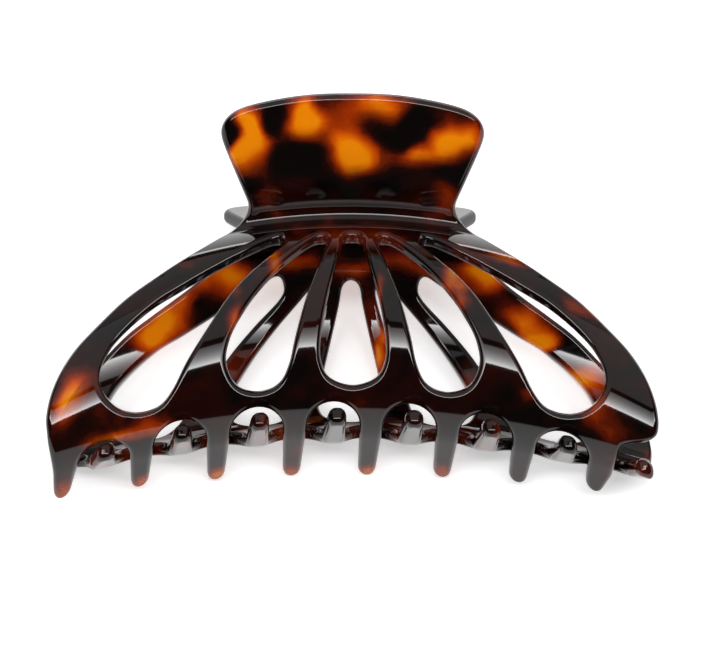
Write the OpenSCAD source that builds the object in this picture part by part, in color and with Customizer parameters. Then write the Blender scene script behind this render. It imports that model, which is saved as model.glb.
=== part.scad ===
// Large claw clip for hair, shown lying on the back of one handle. Millimetres.
// Row frame: +X along the hinge, +Y towards the handles, +Z up from the table.

/* [Claw] */
// half of the overall width of the claw
claw_half_width = 54.0; // [45:0.1:65]
// radius of the claw's side profile at the middle
bulge_radius = 24.8; // [18:0.1:32]
// distance of the profile's centre behind the hinge plane
bulge_set_back = 9.64; // [5:0.01:14]
// height of the profile's centre below the bend
bulge_drop = 21.3; // [15:0.1:28]
// radius of the turn from the claw into the teeth
turn_radius = 15; // [8:0.1:22]
// sag of the ribs' root line for each square millimetre off centre
arch_rate = 0.0029; // [0.001:0.0001:0.005]
// how far the rim falls behind the middle at the bend
rim_fall = 7.7; // [3:0.1:10]
// how far the rim falls behind the middle at the comb
comb_fall = 1.8; // [0:0.1:5]
// thickness of the sheet
sheet = 2.6; // [1.8:0.1:4]

/* [Openings] */
// size of the five openings against the drawn ones, sideways from their own centres
opening_scale = 1.0; // [0.7:0.01:1.1]

/* [Teeth] */
// teeth on each half
teeth = 8; // [5:1:10]
// distance from tooth to tooth
tooth_pitch = 13.55; // [10:0.1:18]
// sideways offset of each comb, so that the two combs pass between each other
comb_offset = -3.39; // [-5:0.1:5]
// width of the gap between two teeth
tooth_gap = 9.3; // [6:0.1:12]
// distance of the gap's round top in front of the hinge plane
gap_top = 8; // [4:0.1:12]
// how far that top falls back for each square millimetre off centre
gap_rate = 0.0003; // [0:0.0001:0.002]
// how far the middle teeth reach past the hinge plane
tooth_reach = 10.6; // [5:0.1:18]
// how much less the teeth reach for each square millimetre off centre
reach_rate = 0.00237; // [0:0.00001:0.005]
// height of the middle teeth's tips below the bend
tip_drop = 42.5; // [38:0.1:50]
// radius of a tooth's tip
tip_radius = 1.65; // [1:0.05:2.5]
// how far a tooth's tip stands to the left of its root
tip_lean = 0.6; // [0:0.1:1.5]
// half of a tooth's width at its root
tooth_half_width = 2.12; // [1.5:0.02:3.5]

/* [Handle] */
// angle of a handle from the upright
handle_angle = 52.7; // [30:0.1:70]
// length of a handle from its bend
handle_length = 23.5; // [16:0.1:36]
// half of a handle's greatest width
handle_half_width = 23.7; // [16:0.1:32]
// half of the neck's width
neck_half_width = 18.8; // [12:0.1:26]
// radius inside the bend
bend_radius = 2; // [1:0.1:5]

/* [Hinge] */
// height of the hinge line above the bend
hinge_height = 6.5; // [4:0.1:10]
// radius of the hinge pin
pin_radius = 1.0; // [0.6:0.05:2]
// radial clearance of the pin in its lugs
pin_clearance = 0.05; // [0.02:0.01:0.1]
// outer radius of a hinge lug
lug_radius = 3.0; // [2:0.1:4]
// length of one lug along the hinge
lug_length = 3.2; // [2:0.1:5]
// where a lug's foot starts, from the bend up the handle
lug_low = 2.6; // [2:0.1:5]
// where a lug's foot ends
lug_high = 9.4; // [6:0.1:14]
// half of the hinge's length over the lugs
hinge_half_length = 13.0; // [8:0.1:20]

/* [Spring] */
// radius of the spring's wire
wire_radius = 0.7; // [0.4:0.05:1]
// mean radius of the spring's turns
coil_radius = 2.9; // [2:0.1:4]
// distance from turn to turn
coil_pitch = 1.38; // [1:0.01:2]

/* [Pose] */
// lean of the closed clip's middle plane from level, lying on a handle and the teeth
lean = 11.30; // [0:0.01:30]
// shift of the hinge line's plane along Y
shift_y = 15.495; // [-50:0.005:50]
// shift upwards that brings the lowest points to the table
shift_z = 20.345; // [0:0.005:60]

/* [Hidden] */
$fn = 48;

hs = sin(handle_angle);
hc = cos(handle_angle);
c1 = [-bulge_set_back, -bulge_drop];
turn_angle = -39;
c2 = c1 + (bulge_radius - turn_radius) * [cos(turn_angle), sin(turn_angle)];
// the handle's outer face runs through this point
face0 = [4.9, 0];
// centre of the round inside the bend
bend_c = [7.33, -0.6];
tooth_x = [for (i = [0:teeth - 1]) (i - (teeth - 1) / 2) * tooth_pitch + comb_offset];

// fall of the rim behind the middle, by height on the middle profile
function fall_rate(w) = w > -10 ? rim_fall
    : comb_fall + (rim_fall - comb_fall) * max(0, w + 36.9) / 26.9;
function fall(x, w) = (x / 45) * (x / 45) * fall_rate(w);
function sag(x) = arch_rate * x * x;

// middle profile: outer point and outward normal, from the handle round the bend to the comb
function face(s) = [face0 + s * [hs, hc], [hc, -hs]];
profile = concat(
    [for (t = [handle_length + 5, handle_length / 2, 3.2]) face(t)],
    [for (i = [0:8]) let (a = 127.3 + i * 102.9 / 8)
        [bend_c + bend_radius * [cos(a), sin(a)], -[cos(a), sin(a)]]],
    [for (i = [1:17]) let (a = 50.2 - i * (89.2 / 17))
        [c1 + bulge_radius * [cos(a), sin(a)], [cos(a), sin(a)]]]
);
xs = [for (i = [-12:12]) i * 4.52];

// one cross-section of the sheet: distance from the hinge plane and height, outside and inside
function outer_run(x) = concat(
    [for (p = profile) p[0] - [fall(x, p[0][1]), sag(x)]],
    tooth_run(x, 1)
);
function inner_run(x) = concat(
    [for (p = profile) p[0] - sheet * p[1] - [fall(x, p[0][1]), sag(x)]],
    tooth_run(x, -1)
);

// the turn into the teeth, their straight part and half of their round tip
function tooth_run(x, side) = let (
    r = tip_radius,
    c = c2 - [fall(x, -36.9), sag(x)],
    tip = [-tooth_reach + reach_rate * x * x, -tip_drop - 0.9 * sag(x)],
    v = tip - c,
    rad = side > 0 ? turn_radius : turn_radius - sheet,
    end = atan2(v[1], v[0]) + acos((rad - side * r) / norm(v)),
    n = [cos(end), sin(end)],
    from = c + rad * n,
    to = tip + side * r * n
) concat(
    [for (k = [1:7]) let (a = turn_angle + (end - turn_angle) * k / 7)
        c + rad * [cos(a), sin(a)]],
    [from + (to - from) / 3, from + (to - from) * 2 / 3],
    [for (t = [0, 30, 60, 82]) let (a = side > 0 ? end - t : end + 180 + t)
        tip + r * [cos(a), sin(a)]]
);

function smooth(p, n) = [for (i = [0:len(p) - 1], j = [0:n - 1]) let (
    m = len(p),
    a = p[(i + m - 1) % m],
    b = p[i],
    c = p[(i + 1) % m],
    d = p[(i + 2) % m],
    t = j / n
) 0.5 * (2 * b + t * (c - a) + t * t * (2 * a - 5 * b + 4 * c - d)
    + t * t * t * (3 * b - a - 3 * c + d))];

// the five openings, seen square to the hinge plane: sideways place, height
open_mid = [[0, -5.6], [1.5, -6.6], [2.1, -9.6], [3.5, -16], [4.9, -23], [5.8, -29.5], [5.5, -33],
    [3.9, -35.3], [0, -36.4], [-3.9, -35.3], [-5.5, -33], [-5.8, -29.5], [-4.9, -23],
    [-3.5, -16], [-2.1, -9.6], [-1.5, -6.6]];
open_next = [[5.6, -6.0], [4.6, -7.3], [4.9, -9.4], [6.7, -15.3], [8.6, -21.8], [10.2, -28.3],
    [11.3, -33.1], [13.2, -36.3], [17, -37.5], [20.6, -36.4], [22.3, -33.0], [21.9, -29.2],
    [20.2, -25], [17.2, -19.6], [13.5, -14.3], [9.9, -10], [7.2, -7]];
open_side = [[13.4, -5.4], [12.4, -6.9], [13.0, -9], [17.7, -14.2], [21.8, -19.6], [25.7, -26.2],
    [29.3, -32.4], [31.6, -37.0], [34, -39.9], [37.7, -41.1], [41.4, -40.3], [44, -37.5],
    [44.6, -33.9], [42.9, -29.2], [39.7, -24.9], [35.2, -20.4], [30.9, -17.3], [25.6, -13.5],
    [20.1, -9.7], [15.8, -6.7]];

// right-hand edge of the claw from the neck to the comb
edge = [[neck_half_width, 3], [neck_half_width, 0.8], [19.4, -0.4], [21.1, -1.7], [23.1, -3.1],
    [25.85, -5.7], [28.35, -7.9], [30.85, -9.9], [35.8, -13.9], [40.75, -18.2], [45.65, -23.9],
    [49.2, -28.4], [51.8, -33.2], [53.4, -38], [54, -42], [53.8, -44.4]];

module mirror_both()
{
    children();
    mirror([1, 0]) children();
}

// the claw's outline, seen square to the hinge plane
module claw_outline()
{
    k = claw_half_width / 54;
    polygon(concat(
        [for (p = edge) [p[0] * k, p[1]]],
        [[53 * k, -45.3], [51.4 * k, -45.7], [49.2 * k, -45.8], [47.5 * k, -46.2], [46.6 * k, -47.4],
            [46.3 * k, -49], [46.2 * k, -60]],
        [[-53 * k, -60], [-53.2 * k, -47.6]],
        [for (i = [len(edge) - 1:-1:0]) [-edge[i][0] * k, edge[i][1]]]
    ));
}

module openings()
{
    k = opening_scale;
    polygon([for (p = smooth(open_mid, 3)) [p[0] * k, p[1]]]);
    mirror_both() polygon([for (p = smooth(open_next, 3)) [15 + (p[0] - 15) * k, p[1]]]);
    mirror_both() polygon([for (p = smooth(open_side, 3)) [33 + (p[0] - 33) * k, p[1]]]);
}

// one gap between neighbouring teeth, seen from below: sideways place, distance from the hinge plane
module gap(xa, xb)
{
    mid = (xa + xb) / 2;
    r = tooth_gap / 2;
    top = gap_top - fall(mid, -36.9) - gap_rate * mid * mid;
    ta = -tooth_reach + reach_rate * xa * xa;
    tb = -tooth_reach + reach_rate * xb * xb;
    q = tip_radius;
    translate([mid, top - r]) circle(r);
    polygon(concat(
        [[xb - tooth_half_width, top - r], [xa + tooth_half_width, top - r]],
        [[xa + tooth_half_width, 0]],
        [for (t = [0:15:90]) [xa - tip_lean + q * cos(t), ta - q * sin(t)]],
        [[xa - tip_lean, ta - 9], [xb - tip_lean, tb - 9]],
        [for (t = [90:-15:0]) [xb - tip_lean - q * cos(t), tb - q * sin(t)]],
        [[xb - tooth_half_width, 0]]
    ));
}

module gaps()
{
    for (i = [0:teeth - 2]) {
        lift = -33 - sag((tooth_x[i] + tooth_x[i + 1]) / 2);
        translate([0, 0, -70]) linear_extrude(70 + lift)
            mirror([0, 1]) gap(tooth_x[i], tooth_x[i + 1]);
    }
    // the outer sides of the first and the last tooth
    a = tooth_x[0];
    b = tooth_x[teeth - 1];
    translate([0, 0, -70]) linear_extrude(70 - 48) mirror([0, 1]) {
        beside(a, -1);
        beside(b, 1);
    }
}

module beside(x, side)
{
    t = -tooth_reach + reach_rate * x * x;
    w = tooth_half_width;
    q = tip_radius;
    polygon(concat(
        [[x + side * (w + 0.2), 12], [x + side * w, 0]],
        [for (k = [0:15:90]) [x - tip_lean + side * q * cos(k), t - q * sin(k)]],
        [[x - tip_lean, t - 9], [x + side * 15, t - 9], [x + side * 15, 12]]
    ));
}

module sheet_solid()
{
    pts = concat(
        [for (x = xs, p = outer_run(x)) [x, -p[0], p[1]]],
        [for (x = xs, p = inner_run(x)) [x, -p[0], p[1]]]
    );
    np = len(outer_run(0));
    nx = len(xs);
    n = nx * np;
    quads = concat(
        [for (i = [0:nx - 2], j = [0:np - 2]) let (a = i * np + j)
            [a, a + 1, a + np + 1, a + np]],
        [for (i = [0:nx - 2], j = [0:np - 2]) let (a = n + i * np + j)
            [a, a + np, a + np + 1, a + 1]],
        [for (j = [0:np - 2]) [j, n + j, n + j + 1, j + 1]],
        [for (j = [0:np - 2]) let (a = (nx - 1) * np + j) [a, a + 1, n + a + 1, n + a]],
        [for (i = [0:nx - 2]) let (a = i * np) [a, a + np, n + a + np, n + a]],
        [for (i = [0:nx - 2]) let (a = i * np + np - 1) [a, n + a, n + a + np, a + np]]
    );
    tris = [for (q = quads, t = [[0, 1, 2], [0, 2, 3]]) [q[t[0]], q[t[1]], q[t[2]]]];
    polyhedron(points = pts, faces = tris, convexity = 8);
}

module along_y(depth)
{
    translate([0, 20, 0]) rotate([90, 0, 0]) linear_extrude(depth) children();
}

// a shape drawn as distance from the hinge plane and height, run along X
module along_x(from, length)
{
    translate([from, 0, 0]) rotate([90, 0, 90]) linear_extrude(length)
        mirror([1, 0]) children();
}

// the handle's outline, drawn on its own outer face and cut square to it
module handle_prism()
{
    half = [[neck_half_width - 0.2, -1], [neck_half_width, 1.9], [19.7, 4.3], [21.2, 8.2], [22.5, 11.6],
        [23.5, 14.6], [23.7, 16.4], [23.1, 18.1], [21.5, 19.7], [19, 20.9], [14, 22.2], [8.3, 23.15]];
    kx = handle_half_width / 23.7;
    ky = handle_length / 23.5;
    right = [for (p = half) [p[0] * kx, p[1] * ky]];
    left = [for (i = [len(half) - 1:-1:0]) [-half[i][0] * kx, half[i][1] * ky]];
    translate([0, -face0[0], face0[1]]) rotate([90 + handle_angle, 0, 0])
        translate([0, 0, -sheet - 1])
        linear_extrude(sheet + 2) polygon(concat(right, [[0, handle_length]], left));
}

// a hinge lug: a block glued to the handle's inner face, with the pin's bore
module lug(from)
{
    seat = sheet - 0.05;
    low = [face0[0] + lug_low * hs - seat * hc, lug_low * hc + seat * hs];
    high = [face0[0] + lug_high * hs - seat * hc, lug_high * hc + seat * hs];
    difference() {
        along_x(from, lug_length) union() {
            translate([0, hinge_height]) circle(lug_radius);
            polygon([[0.4, hinge_height - lug_radius * 0.99], low, high,
                [0.4, hinge_height + lug_radius * 0.99]]);
        }
        translate([-30, 0, hinge_height]) rotate([0, 90, 0])
            cylinder(r = pin_radius + pin_clearance, h = 60);
    }
}

module outer_lug()
{
    lug(-hinge_half_length);
}

module inner_lug()
{
    lug(hinge_half_length - 2 * lug_length - 0.1);
}

// one bent sheet: handle, claw and teeth. The other half is the same piece turned about.
module claw_sheet()
{
    difference() {
        intersection() {
            sheet_solid();
            union() {
                along_y(60) claw_outline();
                handle_prism();
            }
        }
        along_y(60) openings();
        gaps();
    }
}

module turned()
{
    lying() rotate([0, 0, 180]) children();
}

// carries the upright closed clip into its lying pose
module lying()
{
    translate([0, shift_y, shift_z]) rotate([lean - 90, 0, 0]) children();
}

module front_claw()
{
    color([0.55, 0.25, 0.06]) lying() claw_sheet();
}

module rear_claw()
{
    color([0.45, 0.2, 0.05]) turned() claw_sheet();
}

module front_lug_outer()
{
    color([0.3, 0.12, 0.03]) lying() outer_lug();
}

module front_lug_inner()
{
    color([0.3, 0.12, 0.03]) lying() inner_lug();
}

module rear_lug_outer()
{
    color([0.25, 0.1, 0.03]) turned() outer_lug();
}

module rear_lug_inner()
{
    color([0.25, 0.1, 0.03]) turned() inner_lug();
}

module hinge_pin()
{
    color([0.7, 0.7, 0.72]) lying() translate([0, 0, hinge_height]) rotate([0, 90, 0]) union() {
        cylinder(r = pin_radius, h = 2 * hinge_half_length + 0.4, center = true);
        for (s = [-1, 1])
            translate([0, 0, s * (hinge_half_length + 0.3)])
                cylinder(r = pin_radius + 0.6, h = 0.5, center = true);
    }
}

// touching turns of wire at the listed places along X
module turns(places)
{
    translate([0, 0, hinge_height]) rotate([0, 90, 0]) rotate_extrude()
        for (p = places) translate([coil_radius, p]) circle(wire_radius, $fn = 24);
}

// a straight arm from the foot of a turn to the inner face of the front handle
module arm(x)
{
    s = 13.4;
    gap = sheet + wire_radius + 0.02;
    tip = [face0[0] + s * hs - gap * hc, s * hc + gap * hs];
    v = tip - [0, hinge_height];
    a = atan2(v[1], v[0]) - acos(coil_radius / norm(v));
    root = [0, hinge_height] + coil_radius * [cos(a), sin(a)];
    len = norm(tip - root);
    dir = (tip - root) / len;
    translate([x, -root[0], root[1]]) rotate([90 - atan2(dir[1], dir[0]), 0, 0])
        translate([0, 0, -0.5]) cylinder(r = 0.9 * wire_radius, h = len + 0.5, $fn = 24);
}

module spring_coil()
{
    color([0.06, 0.06, 0.06]) lying() union() {
        turns([for (i = [-4:3]) i * coil_pitch]);
        rotate([0, 0, 180]) arm(4 * coil_pitch);
    }
}

module spring_front_arm()
{
    color([0.06, 0.06, 0.06]) lying() union() {
        turns([4 * coil_pitch + 0.1]);
        arm(4 * coil_pitch + 0.1);
    }
}

rear_claw();
rear_lug_outer();
rear_lug_inner();
hinge_pin();
spring_coil();
front_claw();
front_lug_outer();
front_lug_inner();
spring_front_arm();
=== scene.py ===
"""Looks of the claw clip: bent acetate sheets, a wound spring, a pin and their materials."""

import math

import bpy
import numpy as np
from mathutils import Matrix, Vector, geometry


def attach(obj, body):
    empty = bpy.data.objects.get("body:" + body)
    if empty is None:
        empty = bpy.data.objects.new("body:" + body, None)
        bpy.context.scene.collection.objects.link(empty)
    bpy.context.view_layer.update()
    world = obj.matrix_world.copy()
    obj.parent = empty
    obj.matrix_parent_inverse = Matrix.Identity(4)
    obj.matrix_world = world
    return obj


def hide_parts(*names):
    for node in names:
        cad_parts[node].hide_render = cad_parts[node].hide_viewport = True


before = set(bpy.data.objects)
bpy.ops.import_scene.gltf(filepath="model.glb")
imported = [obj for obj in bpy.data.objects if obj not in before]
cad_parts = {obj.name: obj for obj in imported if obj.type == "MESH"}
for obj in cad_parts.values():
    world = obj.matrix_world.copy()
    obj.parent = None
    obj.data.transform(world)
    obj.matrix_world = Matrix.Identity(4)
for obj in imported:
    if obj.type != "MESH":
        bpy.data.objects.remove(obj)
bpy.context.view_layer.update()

# ---------------------------------------------------------------- the clip's own measures, in millimetres
LEAN = math.radians(11.30)
SHIFT_Y, SHIFT_Z = 15.495, 20.345
HINGE_H = 6.5
SHEET = 2.6
R1, C1 = 24.8, np.array([-9.64, -21.3])
R2, TURN = 15.0, math.radians(-39)
C2 = C1 + (R1 - R2) * np.array([math.cos(TURN), math.sin(TURN)])
HANDLE = math.radians(52.7)
HS, HC = math.sin(HANDLE), math.cos(HANDLE)
FACE0 = np.array([4.9, 0.0])
BEND_C, BEND_R = np.array([7.33, -0.6]), 2.0
BEND_A, BEND_B = math.radians(127.3), math.radians(230.2)
SHELL_A = math.radians(50.2)
BEND_LEN = 5.9
SHELL_LEN = (R1 - SHEET / 2) * (SHELL_A - TURN)
S3 = BEND_LEN + SHELL_LEN
T_ON_FACE = 1.55
ARCH = 0.0029
TEETH = [(i - 3.5) * 13.55 - 3.39 for i in range(8)]
ROOT_W, TIP_R, TIP_LEAN = 2.12, 1.65, 0.6


def fall_rate(w):
    w = np.asarray(w, float)
    return np.where(w > -10, 7.7, 1.8 + 5.9 * np.maximum(0, w + 36.9) / 26.9)


def sag(x):
    return ARCH * x * x


def fall(x, w):
    return (x / 45) ** 2 * fall_rate(w)


def tooth_frame(x):
    """For each x: the turn's centre, its end angles, the straight runs' starts and ends, and the lengths."""
    c = np.stack([C2[0] - fall(x, -36.9), C2[1] - sag(x)], -1)
    tip = np.stack([-10.6 + 0.00237 * x * x, -42.5 - 0.9 * sag(x)], -1)
    v = tip - c
    size = np.hypot(v[..., 0], v[..., 1])
    b = np.arctan2(v[..., 1], v[..., 0])
    ends, froms, tos = [], [], []
    for rad, side in ((R2, 1), (R2 - SHEET, -1)):
        end = b + np.arccos((rad - side * TIP_R) / size)
        n = np.stack([np.cos(end), np.sin(end)], -1)
        ends.append(end)
        froms.append(c + rad * n)
        tos.append(tip + side * TIP_R * n)
    arc = (R2 - SHEET / 2) * (TURN - (ends[0] + ends[1]) / 2)
    straight = np.linalg.norm((tos[0] + tos[1] - froms[0] - froms[1]) / 2, axis=-1)
    return c, ends, froms, tos, arc, straight


def tip_s(x):
    arc, straight = tooth_frame(np.array(float(x)))[4:]
    return float(S3 + arc + straight)


def section(x, s):
    """Outer and inner points (distance from the hinge plane, height). s runs from the handle to the tips."""
    x, s = np.broadcast_arrays(np.asarray(x, float), np.asarray(s, float))
    p = np.zeros(x.shape + (2,))
    n = np.zeros(x.shape + (2,))
    on_handle = s <= 0
    t = T_ON_FACE - s
    p[on_handle] = (FACE0 + t[..., None] * np.array([HS, HC]))[on_handle]
    n[on_handle] = np.array([HC, -HS])
    on_bend = (s > 0) & (s <= BEND_LEN)
    a = BEND_A + (BEND_B - BEND_A) * s / BEND_LEN
    u = np.stack([np.cos(a), np.sin(a)], -1)
    p[on_bend] = (BEND_C + BEND_R * u)[on_bend]
    n[on_bend] = (-u)[on_bend]
    on_shell = (s > BEND_LEN) & (s <= S3)
    a = SHELL_A - (s - BEND_LEN) / (R1 - SHEET / 2)
    u = np.stack([np.cos(a), np.sin(a)], -1)
    p[on_shell] = (C1 + R1 * u)[on_shell]
    n[on_shell] = u[on_shell]
    drop = np.stack([fall(x, p[..., 1]), sag(x)], -1)
    outer, inner = p - drop, p - SHEET * n - drop
    c, ends, froms, tos, arc, straight = tooth_frame(x)
    q = (s - S3) / arc
    on_turn = (s > S3) & (q <= 1)
    on_tooth = q > 1
    e = ((s - S3 - arc) / straight)[..., None]
    for k, (rad, out) in enumerate(((R2, outer), (R2 - SHEET, inner))):
        a = TURN + (ends[k] - TURN) * q
        arcp = c + rad * np.stack([np.cos(a), np.sin(a)], -1)
        out[on_turn] = arcp[on_turn]
        line = froms[k] + (tos[k] - froms[k]) * e
        out[on_tooth] = line[on_tooth]
    return outer, inner


def claw_point(x, s, z):
    """A point of the upright clip's front claw. z runs from -1 on the hair side to 1 outside."""
    outer, inner = section(x, s)
    m = (outer + inner) / 2 + np.asarray(z)[..., None] * (outer - inner) / 2
    return np.stack([np.broadcast_to(x, m.shape[:-1]), -m[..., 0], m[..., 1]], -1)


# ---------------------------------------------------------------- the flat pattern of the sheet, in (x, s)
def s_on_handle(x, t):
    return T_ON_FACE - (t + sag(x) / HC)


def s_at_height(x, h):
    w = h + sag(x)
    if w > BEND_C[1] + BEND_R * math.sin(BEND_A):
        return T_ON_FACE - w / HC
    if w > -2.1:
        a = math.pi - math.asin(max(-1, min(1, (w - BEND_C[1]) / BEND_R)))
        return BEND_LEN * (a - BEND_A) / (BEND_B - BEND_A)
    a = math.asin((w - C1[1]) / R1)
    if a > TURN:
        return BEND_LEN + (R1 - SHEET / 2) * (SHELL_A - a)
    a = math.asin(max(-0.999, (w - C2[1]) / R2))
    return S3 + (R2 - SHEET / 2) * (TURN - a)


HANDLE_HALF = [(18.8, 1.9), (19.7, 4.3), (21.2, 8.2), (22.5, 11.6), (23.5, 14.6), (23.7, 16.4),
               (23.1, 18.1), (21.5, 19.7), (19, 20.9), (14, 22.2), (8.3, 23.15)]
EDGE = [(18.8, 0.8), (19.4, -0.4), (21.1, -1.7), (23.1, -3.1), (25.85, -5.7), (28.35, -7.9),
        (30.85, -9.9), (35.8, -13.9), (40.75, -18.2), (45.65, -23.9), (49.2, -28.4), (51.8, -33.2), (53.4, -38),
        (54.0, -42), (53.8, -44.4)]
OPEN_MID = [(0, -5.6), (1.5, -6.6), (2.1, -9.6), (3.5, -16), (4.9, -23), (5.8, -29.5), (5.5, -33),
            (3.9, -35.3), (0, -36.4)]
OPEN_NEXT = [(5.6, -6.0), (4.6, -7.3), (4.9, -9.4), (6.7, -15.3), (8.6, -21.8), (10.2, -28.3),
             (11.3, -33.1), (13.2, -36.3), (17, -37.5), (20.6, -36.4), (22.3, -33.0), (21.9, -29.2),
             (20.2, -25), (17.2, -19.6), (13.5, -14.3), (9.9, -10), (7.2, -7)]
OPEN_SIDE = [(13.4, -5.4), (12.4, -6.9), (13.0, -9), (17.7, -14.2), (21.8, -19.6), (25.7, -26.2),
             (29.3, -32.4), (31.6, -37.0), (34, -39.9), (37.7, -41.1), (41.4, -40.3), (44, -37.5),
             (44.6, -33.9), (42.9, -29.2), (39.7, -24.9), (35.2, -20.4), (30.9, -17.3), (25.6, -13.5),
             (20.1, -9.7), (15.8, -6.7)]


def catmull(pts, n=6, closed=True):
    p = np.asarray(pts, float)
    m = len(p)
    out = []
    for i in range(m if closed else m - 1):
        a, b, c, d = (p[(i + k) % m] if closed else p[min(max(i + k, 0), m - 1)] for k in (-1, 0, 1, 2))
        for t in np.arange(n) / n:
            out.append(0.5 * (2 * b + t * (c - a) + t * t * (2 * a - 5 * b + 4 * c - d)
                              + t ** 3 * (3 * b - a - 3 * c + d)))
    if not closed:
        out.append(p[-1])
    return np.array(out)


def resample(loop, step, soften=0.0):
    """A closed loop at even spacing, with its corners eased over about `soften` mm."""
    p = np.vstack([loop, loop[:1]])
    d = np.r_[0, np.cumsum(np.linalg.norm(np.diff(p, axis=0), axis=1))]
    n = max(16, int(round(d[-1] / step)))
    at = np.arange(n) * d[-1] / n
    q = np.stack([np.interp(at, d, p[:, k]) for k in (0, 1)], 1)
    if soften:
        k = np.arange(-12, 13)
        g = np.exp(-0.5 * (k * step / soften) ** 2)
        g /= g.sum()
        q = sum(w * np.roll(q, -j, axis=0) for j, w in zip(k, g))
    return q


def signed_area(p):
    x, y = p[:, 0], p[:, 1]
    return 0.5 * float(np.sum(x * np.roll(y, -1) - np.roll(x, -1) * y))


def orient(p, positive):
    return p if (signed_area(p) > 0) == positive else p[::-1]


def arch(xm):
    w = -38.65 - 0.0006 * xm * xm
    return S3 + (R2 - SHEET / 2) * (TURN - math.asin((w - C2[1]) / R2))


def round_tip(x):
    s = tip_s(x)
    return [(x - TIP_LEAN + TIP_R * math.cos(a), s + TIP_R * math.sin(a)) for a in np.linspace(math.pi, 0, 9)]


def sheet_loops():
    right = [(x, s_on_handle(x, t)) for x, t in HANDLE_HALF[::-1]]
    right += [(x, s_at_height(x, h)) for x, h in EDGE]
    left = [(-x, s) for x, s in right[::-1]]
    crown = [(-4, s_on_handle(4, 23.45)), (0, s_on_handle(0, 23.5)), (4, s_on_handle(4, 23.45))]
    top = catmull(crown + right, 6, False)
    top = top[top[:, 0] >= 0]
    upper_right = [tuple(p) for p in top]
    upper_left = [(-x, s) for x, s in upper_right[::-1]]
    lower = []
    # from the right end, under the last tooth, leftwards along the comb
    tail = catmull([(53.6, s_at_height(53.6, -44.6)), (52.9, s_at_height(52.9, -45.2)),
                    (51.4, s_at_height(51.4, -45.7)), (49.2, s_at_height(49.2, -45.8)),
                    (47.5, s_at_height(47.5, -46.2)), (46.6, S3 + 8.2), (46.3, S3 + 11)], 6, False)
    lower += [tuple(p) for p in tail]
    for i in range(7, -1, -1):
        x = TEETH[i]
        lower += round_tip(x)[::-1]
        if i:
            xm = (x + TEETH[i - 1]) / 2
            r = (x - TEETH[i - 1] - 2 * ROOT_W) / 2
            s0 = arch(xm) + r
            lower += [(xm + r * math.cos(a), s0 - r * math.sin(a)) for a in np.linspace(0, math.pi, 17)]
    lower += [(TEETH[0] - ROOT_W, S3 + 8), (-53.1, S3 + 5.5), (-53.4, S3 + 3), (-53.7, S3 + 0.6)]
    outer = np.array(upper_right + lower + upper_left)
    outer = orient(resample(outer, 0.55, 0.5), True)
    holes = []
    mid = OPEN_MID + [(-x, h) for x, h in OPEN_MID[-2:0:-1]]
    for pts in (mid, OPEN_NEXT, OPEN_SIDE, [(-x, h) for x, h in OPEN_NEXT], [(-x, h) for x, h in OPEN_SIDE]):
        c = catmull(pts, 8)
        c = np.array([(x, s_at_height(x, h)) for x, h in c])
        holes.append(orient(resample(c, 0.55, 0.35), False))
    return outer, holes


def inside(pts, loops):
    """Even-odd test of points against closed loops."""
    hit = np.zeros(len(pts), int)
    for lp in loops:
        a, b = lp, np.roll(lp, -1, axis=0)
        for k in range(0, len(pts), 4000):
            x, y = pts[k:k + 4000, 0:1], pts[k:k + 4000, 1:2]
            cross = (a[:, 1] > y) != (b[:, 1] > y)
            with np.errstate(divide="ignore", invalid="ignore"):
                xi = a[:, 0] + (y - a[:, 1]) / (b[:, 1] - a[:, 1]) * (b[:, 0] - a[:, 0])
            hit[k:k + 4000] += (cross & (x < xi)).sum(1)
    return hit % 2 == 1


def near_loops(pts, loops, gap):
    allp = np.vstack(loops)
    out = np.zeros(len(pts), bool)
    for k in range(0, len(pts), 2000):
        d = pts[k:k + 2000, None, :] - allp[None]
        out[k:k + 2000] = (d ** 2).sum(2).min(1) < gap * gap
    return out


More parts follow.
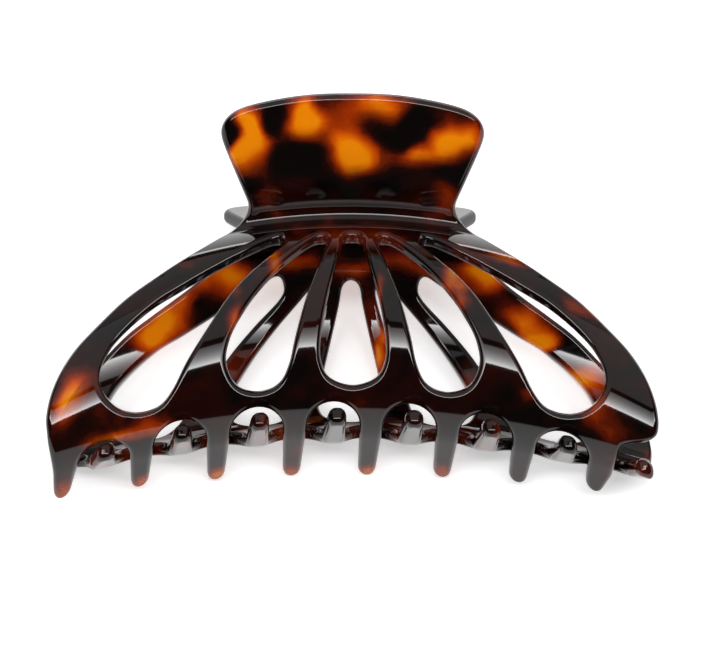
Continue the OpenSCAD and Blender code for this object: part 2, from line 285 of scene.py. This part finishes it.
def plate(name, loops, where, half, edge, grid, steps=5):
    """A plate with rounded edges. loops: the flat pattern with material on its left, where(u, v, z in -1..1):
    its place, half: half its thickness, edge: the rounding's radius, grid: spacing of inner points."""
    counts = [len(lp) for lp in loops]
    total = sum(counts)
    flat = np.vstack(loops)
    tang = np.vstack([np.roll(lp, -1, axis=0) - np.roll(lp, 1, axis=0) for lp in loops])
    tang /= np.linalg.norm(tang, axis=1, keepdims=True)
    inward = np.stack([-tang[:, 1], tang[:, 0]], 1)
    angles = np.linspace(0, math.pi / 2, steps)
    offs = edge * (1 - np.cos(angles))
    hts = (half - edge + edge * np.sin(angles)) / half
    rings = [flat + inward * o for o in offs]
    inner = rings[-1]
    cut = np.cumsum([0] + counts)
    inner_loops = [inner[cut[k]:cut[k + 1]] for k in range(len(loops))]
    lo, hi = flat.min(0), flat.max(0)
    gx = np.arange(lo[0], hi[0], grid)
    gy = np.arange(lo[1], hi[1], grid * 0.866)
    pts = np.array([(x + (grid / 2 if j % 2 else 0), y) for j, y in enumerate(gy) for x in gx])
    pts = pts[inside(pts, inner_loops)]
    pts = pts[~near_loops(pts, inner_loops, grid * 0.6)]
    verts2 = np.vstack([inner, pts])
    edges = [(cut[k] + i, cut[k] + (i + 1) % counts[k]) for k in range(len(loops)) for i in range(counts[k])]
    got = geometry.delaunay_2d_cdt([Vector(p) for p in verts2], edges, [], 0, 1e-7, True)
    back = [o[0] if o else -1 for o in got[3]]
    tris = np.array([[back[i] for i in f] for f in got[2]])
    tris = tris[(tris >= 0).all(1)]
    mids = verts2[tris].mean(1)
    tris = tris[inside(mids, inner_loops)]
    a, b, c = (verts2[tris[:, k]] for k in range(3))
    turn = (b[:, 0] - a[:, 0]) * (c[:, 1] - a[:, 1]) - (b[:, 1] - a[:, 1]) * (c[:, 0] - a[:, 0])
    tris[turn < 0] = tris[turn < 0][:, ::-1]

    uv, zz, tilt, inw = [], [], [], []
    for side in (1, -1):
        for k in range(steps):
            uv.append(rings[k])
            zz.append(np.full(total, side * hts[k]))
            tilt.append(np.full(total, math.cos(angles[k])))
            inw.append(inward)
        uv.append(pts)
        zz.append(np.full(len(pts), float(side)))
        tilt.append(np.zeros(len(pts)))
        inw.append(np.tile([1.0, 0.0], (len(pts), 1)))
    per = steps * total + len(pts)
    uv, zz, tilt, inw = np.vstack(uv), np.concatenate(zz), np.concatenate(tilt), np.vstack(inw)
    p = where(uv[:, 0], uv[:, 1], zz)
    h = 0.02
    du = (where(uv[:, 0] + h, uv[:, 1], zz) - where(uv[:, 0] - h, uv[:, 1], zz)) / (2 * h)
    dv = (where(uv[:, 0], uv[:, 1] + h, zz) - where(uv[:, 0], uv[:, 1] - h, zz)) / (2 * h)
    n = np.cross(du, dv)
    n /= np.linalg.norm(n, axis=1, keepdims=True)
    up = where(uv[:, 0], uv[:, 1], zz + 0.05) - p
    flip = (n * up).sum(1) < 0
    handed = -1 if flip.mean() > 0.5 else 1
    n[flip] *= -1
    out = -(inw[:, 0:1] * du + inw[:, 1:2] * dv)
    out -= (out * n).sum(1, keepdims=True) * n
    out /= np.linalg.norm(out, axis=1, keepdims=True)
    sgn = np.sign(zz)[:, None]
    nor = tilt[:, None] * out + np.sqrt(np.maximum(0, 1 - tilt ** 2))[:, None] * n * sgn

    faces = []
    remap = np.concatenate([(steps - 1) * total + np.arange(total), steps * total + np.arange(len(pts))])
    t = remap[tris]
    faces += [tuple(f) for f in t] + [tuple(f[::-1] + per) for f in t]
    for k in range(len(loops)):
        i = np.arange(cut[k], cut[k + 1])
        j = cut[k] + (np.arange(counts[k]) + 1) % counts[k]
        for r in range(steps - 1):
            faces += [tuple(f) for f in np.stack([r * total + i, r * total + j, (r + 1) * total + j,
                                                  (r + 1) * total + i], 1)]
            faces += [tuple(f) for f in np.stack([per + r * total + j, per + r * total + i,
                                                  per + (r + 1) * total + i, per + (r + 1) * total + j], 1)]
        faces += [tuple(f) for f in np.stack([per + i, per + j, j, i], 1)]
    if handed < 0:
        faces = [f[::-1] for f in faces]
    return p, [tuple(int(v) for v in f) for f in faces], nor, uv


# ---------------------------------------------------------------- from the upright clip to the row frame
PHI = LEAN - math.pi / 2
ROW = np.array([[1, 0, 0], [0, math.cos(PHI), -math.sin(PHI)], [0, math.sin(PHI), math.cos(PHI)]])
SHIFT = np.array([0, SHIFT_Y, SHIFT_Z])
ABOUT = np.diag([-1.0, -1.0, 1.0])


def to_row(p, turned=False):
    q = p @ ABOUT.T if turned else p
    return (q @ ROW.T + SHIFT) / 1000


def add_mesh(name, p, faces, normals=None, turned=False):
    me = bpy.data.meshes.new(name)
    me.from_pydata([tuple(v) for v in to_row(p, turned)], [], faces)
    me.update()
    me.shade_smooth()
    if normals is not None:
        q = normals @ ABOUT.T if turned else normals
        q = q @ ROW.T
        me.normals_split_custom_set_from_vertices([tuple(v) for v in q])
    ob = bpy.data.objects.new(name, me)
    bpy.context.scene.collection.objects.link(ob)
    return ob


# ---------------------------------------------------------------- materials
def new_material(name):
    mat = bpy.data.materials.new(name)
    mat.use_nodes = True
    nt = mat.node_tree
    for n in list(nt.nodes):
        nt.nodes.remove(n)
    return mat, nt, nt.nodes.new, nt.links.new


def acetate(name):
    """Polished tortoiseshell acetate: amber, red-brown and black, as the `ink` of its points says."""
    mat, nt, node, link = new_material(name)
    out = node("ShaderNodeOutputMaterial")
    ink = node("ShaderNodeAttribute")
    ink.attribute_name = "ink"
    co = node("ShaderNodeTexCoord")
    cloud = node("ShaderNodeTexNoise")
    cloud.inputs["Scale"].default_value = 300.0
    cloud.inputs["Detail"].default_value = 2.0
    link(co.outputs["Object"], cloud.inputs["Vector"])
    value = node("ShaderNodeMath")
    value.operation = "MULTIPLY_ADD"
    link(cloud.outputs["Fac"], value.inputs[0])
    value.inputs[1].default_value = 0.3
    link(ink.outputs["Fac"], value.inputs[2])

    def ramp(stops):
        r = node("ShaderNodeValToRGB")
        el = r.color_ramp.elements
        while len(el) > 1:
            el.remove(el[-1])
        el[0].position, el[0].color = stops[0][0], (*stops[0][1], 1)
        for pos, col in stops[1:]:
            el.new(pos).color = (*col, 1)
        link(value.outputs[0], r.inputs["Fac"])
        return r.outputs["Color"]

    base = ramp([(0.12, (0.0025, 0.0012, 0.001)), (0.30, (0.016, 0.002, 0.001)), (0.46, (0.12, 0.010, 0.001)),
                 (0.64, (0.36, 0.040, 0.001)), (0.84, (0.68, 0.125, 0.001)), (1.0, (0.85, 0.27, 0.003))])
    tint = ramp([(0.12, (0.01, 0.004, 0.002)), (0.30, (0.13, 0.02, 0.004)), (0.46, (0.38, 0.07, 0.006)),
                 (0.64, (0.66, 0.17, 0.01)), (0.84, (0.90, 0.34, 0.015)), (1.0, (0.98, 0.53, 0.02))])
    see = ramp([(0.12, (0.0, 0.0, 0.0)), (0.30, (0.12, 0.12, 0.12)), (0.46, (0.35, 0.35, 0.35)),
                (0.62, (0.5, 0.5, 0.5)), (1.0, (0.6, 0.6, 0.6))])
    solid = node("ShaderNodeBsdfPrincipled")
    link(base, solid.inputs["Base Color"])
    solid.inputs["Roughness"].default_value = 0.06
    solid.inputs["IOR"].default_value = 1.49
    clear = node("ShaderNodeBsdfTransparent")
    link(tint, clear.inputs["Color"])
    gloss = node("ShaderNodeBsdfGlossy")
    gloss.inputs["Roughness"].default_value = 0.04
    gloss.inputs["Color"].default_value = (1, 1, 1, 1)
    fres = node("ShaderNodeFresnel")
    fres.inputs["IOR"].default_value = 1.49
    glassy = node("ShaderNodeMixShader")
    link(fres.outputs[0], glassy.inputs[0])
    link(clear.outputs[0], glassy.inputs[1])
    link(gloss.outputs[0], glassy.inputs[2])
    both = node("ShaderNodeMixShader")
    link(see, both.inputs[0])
    link(solid.outputs[0], both.inputs[1])
    link(glassy.outputs[0], both.inputs[2])
    link(both.outputs[0], out.inputs["Surface"])
    return mat


def plain(name, color, metallic, rough, coat=0.0):
    mat, nt, node, link = new_material(name)
    out = node("ShaderNodeOutputMaterial")
    b = node("ShaderNodeBsdfPrincipled")
    b.inputs["Metallic"].default_value = metallic
    b.inputs["Coat Weight"].default_value = coat
    co = node("ShaderNodeTexCoord")
    n = node("ShaderNodeTexNoise")
    n.inputs["Scale"].default_value = 900.0
    n.inputs["Detail"].default_value = 2.0
    link(co.outputs["Object"], n.inputs["Vector"])
    r = node("ShaderNodeMapRange")
    r.inputs["To Min"].default_value = rough * 0.8
    r.inputs["To Max"].default_value = rough * 1.25
    link(n.outputs["Fac"], r.inputs["Value"])
    link(r.outputs["Result"], b.inputs["Roughness"])
    b.inputs["Base Color"].default_value = (*color, 1)
    link(b.outputs[0], out.inputs["Surface"])
    return mat


front_acetate = acetate("front_acetate")
rear_acetate = acetate("rear_acetate")
lug_acetate = plain("lug_acetate", (0.012, 0.005, 0.003), 0.0, 0.2, 0.5)
spring_black = plain("spring_black", (0.012, 0.012, 0.012), 0.2, 0.3, 0.4)
pin_steel = plain("pin_steel", (0.55, 0.54, 0.52), 1.0, 0.25)


def wear(ob, mat):
    ob.data.materials.clear()
    ob.data.materials.append(mat)


# ---------------------------------------------------------------- the tortoiseshell figure, in the flat pattern
TIP_AMBER = (0.7, 0.8, 0.85, 0.8, 0.85, 0.6, 0, 0)
TIPS = [(x - TIP_LEAN, tip_s(x) + 0.6, 2.6, 2.3, a) for x, a in zip(TEETH, TIP_AMBER)]
# Each spot: sideways place, place along the sheet, the two radii, strength (below 0: darker).
FRONT_FIGURE = [
    (-19, -19.8, 1.9, 3.0, 0.95), (-17.2, -15.8, 2.2, 3.0, 0.95), (-19.3, -11.5, 2.8, 2.2, 0.95),
    (-9.2, -20.5, 2.6, 2.4, 0.72), (-8.6, -15.8, 2.4, 3.0, 0.95), (5.5, -20.2, 4.0, 2.2, 0.85),
    (1.0, -11.6, 4.6, 2.6, 0.85), (0.8, -8.8, 2.8, 1.9, 0.7), (12.5, -10.8, 4.0, 1.9, 0.7),
    (17.0, -14.2, 3.2, 2.2, 0.9), (20, -16.8, 2.2, 2.6, 0.7), (17.0, -3.5, 2.6, 3.6, 0.42),
    (-2, -17.5, 4.0, 4.5, 0.36), (-14.8, -3.5, 1.6, 4.0, 0.2), (-21.8, -17, 1.8, 2.0, -0.7),
    (-13.4, -18.5, 1.6, 2.2, -0.4), (10.5, -16.8, 3.4, 3.2, -0.7), (17.5, -7.5, 3.2, 1.8, -0.5),
    (-7.8, -10.6, 4.6, 1.8, -0.5), (-19, -6.5, 3.0, 2.4, -0.3), (-49.8, 36.5, 2.2, 4.2, 0.95),
    (-42, 46.8, 4.5, 1.0, 0.6), (-30, 14, 3.5, 1.6, 0.34), (-14, 17.5, 0.9, 4.0, 0.62),
    (-21.4, 28, 0.7, 4.5, 0.5), (27.5, 13, 3.0, 1.8, 0.85), (40, 21, 2.6, 1.8, 0.55),
    (17.3, 20, 1.3, 4.5, 0.8), (19.6, 24, 0.9, 2.6, 0.6), (4.4, 27, 0.6, 6.0, 0.6),
    (5.2, 34.5, 0.6, 3.6, 0.5), (43, 38.5, 2.2, 3.6, 0.52), (45.5, 43.5, 2.4, 2.2, 0.4),
    (30.5, 40.5, 1.6, 1.6, 0.36), (-35.5, 45.5, 2.6, 1.6, 0.4), (-33, 30, 3.0, 4.0, 0.16),
    (1, 12, 9.0, 4.0, 0.2)]
REAR_FIGURE = [
    (22.5, 9.0, 3.0, 2.6, 0.85), (28.5, 12.6, 3.4, 2.6, 0.55), (32.5, 16.6, 3.2, 3.0, 0.75),
    (35.5, 21.0, 2.4, 2.6, 0.6), (26.8, 14.2, 1.2, 1.2, -0.4), (-23.5, 7.2, 2.6, 2.0, 0.75),
    (-28.3, 11.8, 2.4, 2.2, -0.3), (-26.0, 10.5, 3.0, 2.2, 0.5), (-31.0, 16.5, 2.6, 2.6, 0.6),
    (-34.8, 20.4, 2.6, 2.4, 0.9), (-38.8, 22.0, 1.8, 1.8, -0.4), (-42.0, 26.5, 3.0, 3.0, 0.88),
    (12, 7.5, 3.6, 1.6, 0.6), (0, 7.6, 11.0, 1.0, 0.36), (-5.4, 24, 0.9, 4.5, 0.6),
    (-12, 8.6, 3.0, 1.6, 0.42), (12, 47, 2.4, 1.6, 0.4), (-3.5, 47, 3.0, 1.6, 0.6),
    (-17, 48, 3.0, 1.6, 0.65), (25, 47, 2.2, 1.6, 0.5), (39, 46, 2.4, 1.6, 0.4)]


def lattice(x, s, cell, seed):
    """Smooth noise on a square lattice, 0 to 1, the same each time."""
    rows = np.random.RandomState(seed).rand(64, 64)
    u, v = x / cell + 32.3, s / cell + 20.7
    i, j = np.floor(u).astype(int), np.floor(v).astype(int)
    a, b = u - i, v - j
    a, b = a * a * (3 - 2 * a), b * b * (3 - 2 * b)
    return ((rows[i, j] * (1 - a) + rows[i + 1, j] * a) * (1 - b)
            + (rows[i, j + 1] * (1 - a) + rows[i + 1, j + 1] * a) * b)


def figure(x, s, spots, free, seed):
    """How much amber there is at a place: 0 black, 1 clear amber. free(x, s): how far noise alone draws it."""
    wx = x + 2.6 * (lattice(x, s, 4.5, seed) - 0.5)
    ws = s + 2.6 * (lattice(x, s, 4.5, seed + 1) - 0.5)
    v = np.zeros_like(x)
    for cx, cs, rx, rs, amp in spots:
        d = ((wx - cx) / rx) ** 2 + ((ws - cs) / rs) ** 2
        v = v + amp * np.exp(-0.75 * d)
    n = 0.65 * lattice(x, s, 8.0, seed + 2) + 0.35 * lattice(x, s, 4.0, seed + 3)
    v = v + free(x, s) * np.clip((n - 0.42) * 4.5, -0.2, 1.1)
    return np.clip(v + 0.12 * (lattice(x, s, 3.0, seed + 4) - 0.5), -0.2, 1.15)


# ---------------------------------------------------------------- the two claws
outer_loop, hole_loops = sheet_loops()
claw_p, claw_f, claw_n, claw_uv = plate("claw", [outer_loop] + hole_loops, claw_point, SHEET / 2, 1.05, 1.3)
front = add_mesh("front_claw_sheet", claw_p, claw_f, claw_n)
rear = add_mesh("rear_claw_sheet", claw_p, claw_f, claw_n, turned=True)
inks = (figure(claw_uv[:, 0], claw_uv[:, 1], FRONT_FIGURE + TIPS, lambda x, s: np.full_like(x, 0.12), 11),
        figure(claw_uv[:, 0], claw_uv[:, 1], REAR_FIGURE,
               lambda x, s: np.where(s < -1, 0.9 * np.clip((20.5 - np.abs(x)) / 3, 0, 1), 0.25), 43))
for ob, mat, node_name, body, ink in ((front, front_acetate, "front_claw", "front_half", inks[0]),
                                      (rear, rear_acetate, "rear_claw", "rear_half", inks[1])):
    wear(ob, mat)
    ob.data.attributes.new("ink", "FLOAT", "POINT").data.foreach_set("value", ink.astype(np.float32))
    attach(ob, body)
    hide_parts(node_name)

# ---------------------------------------------------------------- lugs
LUG_R, LUG_LEN, HALF_HINGE, PIN_R = 3.0, 3.2, 13.0, 1.0


def lug_loops():
    seat = SHEET - 0.02
    foot = [FACE0 + t * np.array([HS, HC]) + seat * np.array([-HC, HS]) for t in (2.6, 9.4)]
    c = np.array([0, HINGE_H])
    tangent = []
    for f, side in ((foot[0], 1), (foot[1], -1)):
        v = f - c
        a = math.atan2(v[1], v[0]) - side * math.acos(LUG_R / np.linalg.norm(v))
        tangent.append(a)
    a0, a1 = tangent[0], tangent[1]
    while a1 > a0:
        a1 -= 2 * math.pi
    arc = [c + LUG_R * np.array([math.cos(a), math.sin(a)]) for a in np.linspace(a0, a1, 40)]
    outer = np.array([*arc, foot[1], foot[0]])
    outer = orient(resample(outer, 0.25, 0.15), True)
    bore = np.array([c + (PIN_R + 0.05) * np.array([math.cos(a), math.sin(a)])
                     for a in np.linspace(0, 2 * math.pi, 33)[:-1]])
    return [outer, orient(bore, False)]


for body, turned in (("front_half", False), ("rear_half", True)):
    for which, mid in (("outer", -HALF_HINGE + LUG_LEN / 2), ("inner", HALF_HINGE - 1.5 * LUG_LEN - 0.1)):
        def lug_point(u, v, z, mid=mid):
            return np.stack([mid + z * LUG_LEN / 2, -u, v], -1)
        p, f, n, uv = plate("lug", lug_loops(), lug_point, LUG_LEN / 2, 0.3, 0.6, 4)
        side = body.split("_")[0]
        ob = add_mesh(f"{side}_lug_{which}_block", p, f, n, turned)
        wear(ob, lug_acetate)
        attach(ob, body)
        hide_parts(f"{side}_lug_{which}")


# ---------------------------------------------------------------- pin
def lathe(profile, sides=48):
    """Spun about the hinge line. profile: (x, radius) from one end to the other, both ends on the line."""
    p, f = [], []
    ang = np.arange(sides) * 2 * math.pi / sides
    for x, r in profile[1:-1]:
        p += [(x, r * math.cos(a), HINGE_H + r * math.sin(a)) for a in ang]
    m = len(profile) - 2
    for i in range(m - 1):
        for k in range(sides):
            j = (k + 1) % sides
            f.append((i * sides + k, i * sides + j, (i + 1) * sides + j, (i + 1) * sides + k))
    a, b = len(p), len(p) + 1
    p += [(profile[0][0], 0, HINGE_H), (profile[-1][0], 0, HINGE_H)]
    for k in range(sides):
        j = (k + 1) % sides
        f.append((a, j, k))
        f.append((b, (m - 1) * sides + k, (m - 1) * sides + j))
    return np.array(p), [g[::-1] for g in f]


X = HALF_HINGE
pin_profile = [(-X - 0.55, 0), (-X - 0.54, 0.9), (-X - 0.47, 1.25), (-X - 0.32, 1.5), (-X - 0.15, 1.57),
               (-X - 0.06, 1.55), (-X - 0.05, 1.5), (-X - 0.05, PIN_R + 0.02), (-X - 0.02, PIN_R),
               (X + 0.02, PIN_R),
               (X + 0.05, PIN_R + 0.02), (X + 0.05, 1.5), (X + 0.06, 1.55), (X + 0.15, 1.57), (X + 0.32, 1.5),
               (X + 0.47, 1.25), (X + 0.54, 0.9), (X + 0.55, 0)]
p, f = lathe(pin_profile)
pin = add_mesh("hinge_pin_peened", p, f)
pin.data.shade_flat()
pin.data.polygons.foreach_set("use_smooth", [len(q.vertices) == 4 for q in pin.data.polygons])
wear(pin, pin_steel)
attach(pin, "rear_half")
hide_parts("hinge_pin")

# ---------------------------------------------------------------- spring: one wire, cut before its last turn
WIRE, COIL = 0.66, 2.9
X_REAR, X_FRONT = -5.52, 5.62
gap = SHEET + 0.7 + 0.02
arm_end = FACE0 + 13.4 * np.array([HS, HC]) + gap * np.array([-HC, HS])
v = arm_end - np.array([0, HINGE_H])
a_front = math.atan2(v[1], v[0]) - math.acos(COIL / np.linalg.norm(v))
a_rear = math.pi - a_front
turns = a_front - a_rear
while turns < 2 * math.pi * 7.6:
    turns += 2 * math.pi


def coil_path(f0, f1):
    n = int(48 * (f1 - f0) * turns / (2 * math.pi)) + 2
    out = []
    for t in np.linspace(f0, f1, n):
        a = a_rear + turns * t
        x = X_REAR + (X_FRONT - X_REAR) * t
        out.append((x, -COIL * math.cos(a), HINGE_H + COIL * math.sin(a)))
    return out


def arm_path(x, side):
    root = np.array([COIL * math.cos(a_front), HINGE_H + COIL * math.sin(a_front)])
    pts = [root + (arm_end - root) * t for t in np.linspace(0, 1, 12)]
    return [(x, -side * q[0], q[1]) for q in pts]


def tube(path, radius, sides=20):
    """A round wire along a path, with rounded ends."""
    c = np.array(path, float)
    keep = np.r_[True, np.linalg.norm(np.diff(c, axis=0), axis=1) > 1e-4]
    c = c[keep]
    t = np.gradient(c, axis=0)
    t /= np.linalg.norm(t, axis=1, keepdims=True)
    caps = [(0.0, 0.02), (0.12, 0.45), (0.35, 0.78), (0.7, 0.96)]
    start = [(c[0] + t[0] * radius * (d - 1) * 0.6, r) for d, r in caps]
    end = [(c[-1] - t[-1] * radius * (d - 1) * 0.6, r) for d, r in caps[::-1]]
    centres = np.array([q for q, _ in start] + list(c) + [q for q, _ in end])
    tang = np.vstack([np.tile(t[0], (4, 1)), t, np.tile(t[-1], (4, 1))])
    rad = np.array([r for _, r in start] + [1.0] * len(c) + [r for _, r in end]) * radius
    n = np.array([1.0, 0, 0])
    p, f = [], []
    for q, d, r in zip(centres, tang, rad):
        n = n - d * float(n @ d)
        n /= np.linalg.norm(n)
        b = np.cross(d, n)
        p += [q + r * (n * math.cos(a) + b * math.sin(a)) for a in np.arange(sides) * 2 * math.pi / sides]
    m = len(centres)
    for i in range(m - 1):
        for k in range(sides):
            j = (k + 1) % sides
            f.append((i * sides + k, i * sides + j, (i + 1) * sides + j, (i + 1) * sides + k))
    f.append(tuple(range(sides))[::-1])
    f.append(tuple((m - 1) * sides + k for k in range(sides)))
    return np.array(p), f


share = 1 - 1.05 * 2 * math.pi / turns
coil = arm_path(X_REAR, -1)[::-1] + coil_path(0, share)[1:]
last = coil_path(share + 0.0008, 1)[:-1] + arm_path(X_FRONT, 1)
for name, path, node_name, body in (("spring_wound_wire", coil, "spring_coil", "rear_half"),
                                    ("spring_front_wire", last, "spring_front_arm", "front_half")):
    p, f = tube(path, WIRE)
    ob = add_mesh(name, p, f)
    wear(ob, spring_black)
    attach(ob, body)
    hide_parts(node_name)

NODE_LOOKS = {"claw": front_acetate, "lug": lug_acetate, "spring": spring_black, "pin": pin_steel}
for name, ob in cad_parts.items():
    wear(ob, next(mat for word, mat in NODE_LOOKS.items() if word in name))

# ---------------------------------------------------------------- floor, light and camera
me = bpy.data.meshes.new("table")
me.from_pydata([(-3, -3, 0), (3, -3, 0), (3, 3, 0), (-3, 3, 0)], [], [(0, 1, 2, 3)])
table = bpy.data.objects.new("table", me)
bpy.context.scene.collection.objects.link(table)
mat, nt, node, link = new_material("white_table")
out = node("ShaderNodeOutputMaterial")
b = node("ShaderNodeBsdfPrincipled")
b.inputs["Base Color"].default_value = (0.95, 0.95, 0.95, 1)
b.inputs["Roughness"].default_value = 0.5
b.inputs["Emission Color"].default_value = (1, 1, 1, 1)
b.inputs["Emission Strength"].default_value = 0.5
link(b.outputs[0], out.inputs["Surface"])
wear(table, mat)

world = bpy.data.worlds.new("studio")
world.use_nodes = True
world.node_tree.nodes["Background"].inputs["Color"].default_value = (1, 1, 1, 1)
world.node_tree.nodes["Background"].inputs["Strength"].default_value = 0.03
bpy.context.scene.world = world
bpy.context.scene.view_settings.view_transform = "Standard"


def panel(name, tilt, distance, width, height, radiance):
    """A soft panel facing the clip. tilt: degrees from overhead, positive behind the clip."""
    t = math.radians(tilt)
    at = Vector((0, math.sin(t), math.cos(t))) * distance
    lamp = bpy.data.lights.new(name, "AREA")
    lamp.shape = "RECTANGLE"
    lamp.size, lamp.size_y = width, height
    lamp.energy = radiance * math.pi * width * height
    ob = bpy.data.objects.new(name, lamp)
    bpy.context.scene.collection.objects.link(ob)
    ob.matrix_world = Matrix.Translation(at) @ Matrix.Rotation(-t, 4, "X")
    return ob


# nine narrow strips, each dimmer than the one in front of it, make one long fading highlight
STRIPS, FIRST_TILT, STRIP_STEP = 9, -26.5, 1.75
for k in range(STRIPS):
    radiance = 15.0 * 0.74 ** k + 0.5
    panel(f"strip_{k}", FIRST_TILT + STRIP_STEP * k, 0.90 + 0.002 * k, 1.8, 0.0275, radiance)
panel("ceiling", 24.0, 1.3, 3.6, 1.5, 0.6)
panel("back", 68.0, 1.6, 4.0, 0.75, 0.35)
panel("low", 88.2, 1.6, 4.0, 0.07, 5.0)

E, YAW, DIST, ROLL = math.radians(-25), math.radians(-1.08), 667.3, 0.004
aim = np.array([1.48, 0.0, -21.03])
fwd = np.array([-math.sin(YAW) * math.cos(E), math.cos(YAW) * math.cos(E), -math.sin(E)])
upv = np.array([-math.sin(YAW) * math.sin(E), math.cos(YAW) * math.sin(E), math.cos(E)])
side = np.array([math.cos(YAW), math.sin(YAW), 0.0])
side, upv = side - ROLL * upv, upv + ROLL * side
cam = bpy.data.cameras.new("camera")
cam.sensor_width = 36.0
cam.lens = 36.0 * 5.545 * DIST / 720.0
cam.clip_start, cam.clip_end = 0.01, 20.0
cam_ob = bpy.data.objects.new("camera", cam)
bpy.context.scene.collection.objects.link(cam_ob)
rot = np.stack([side @ ROW.T, upv @ ROW.T, -(fwd @ ROW.T)], 1)
at = to_row((aim - DIST * fwd)[None])[0]
cam_ob.matrix_world = Matrix.Translation(Vector(at)) @ Matrix(rot.tolist()).to_4x4()
bpy.context.scene.camera = cam_ob
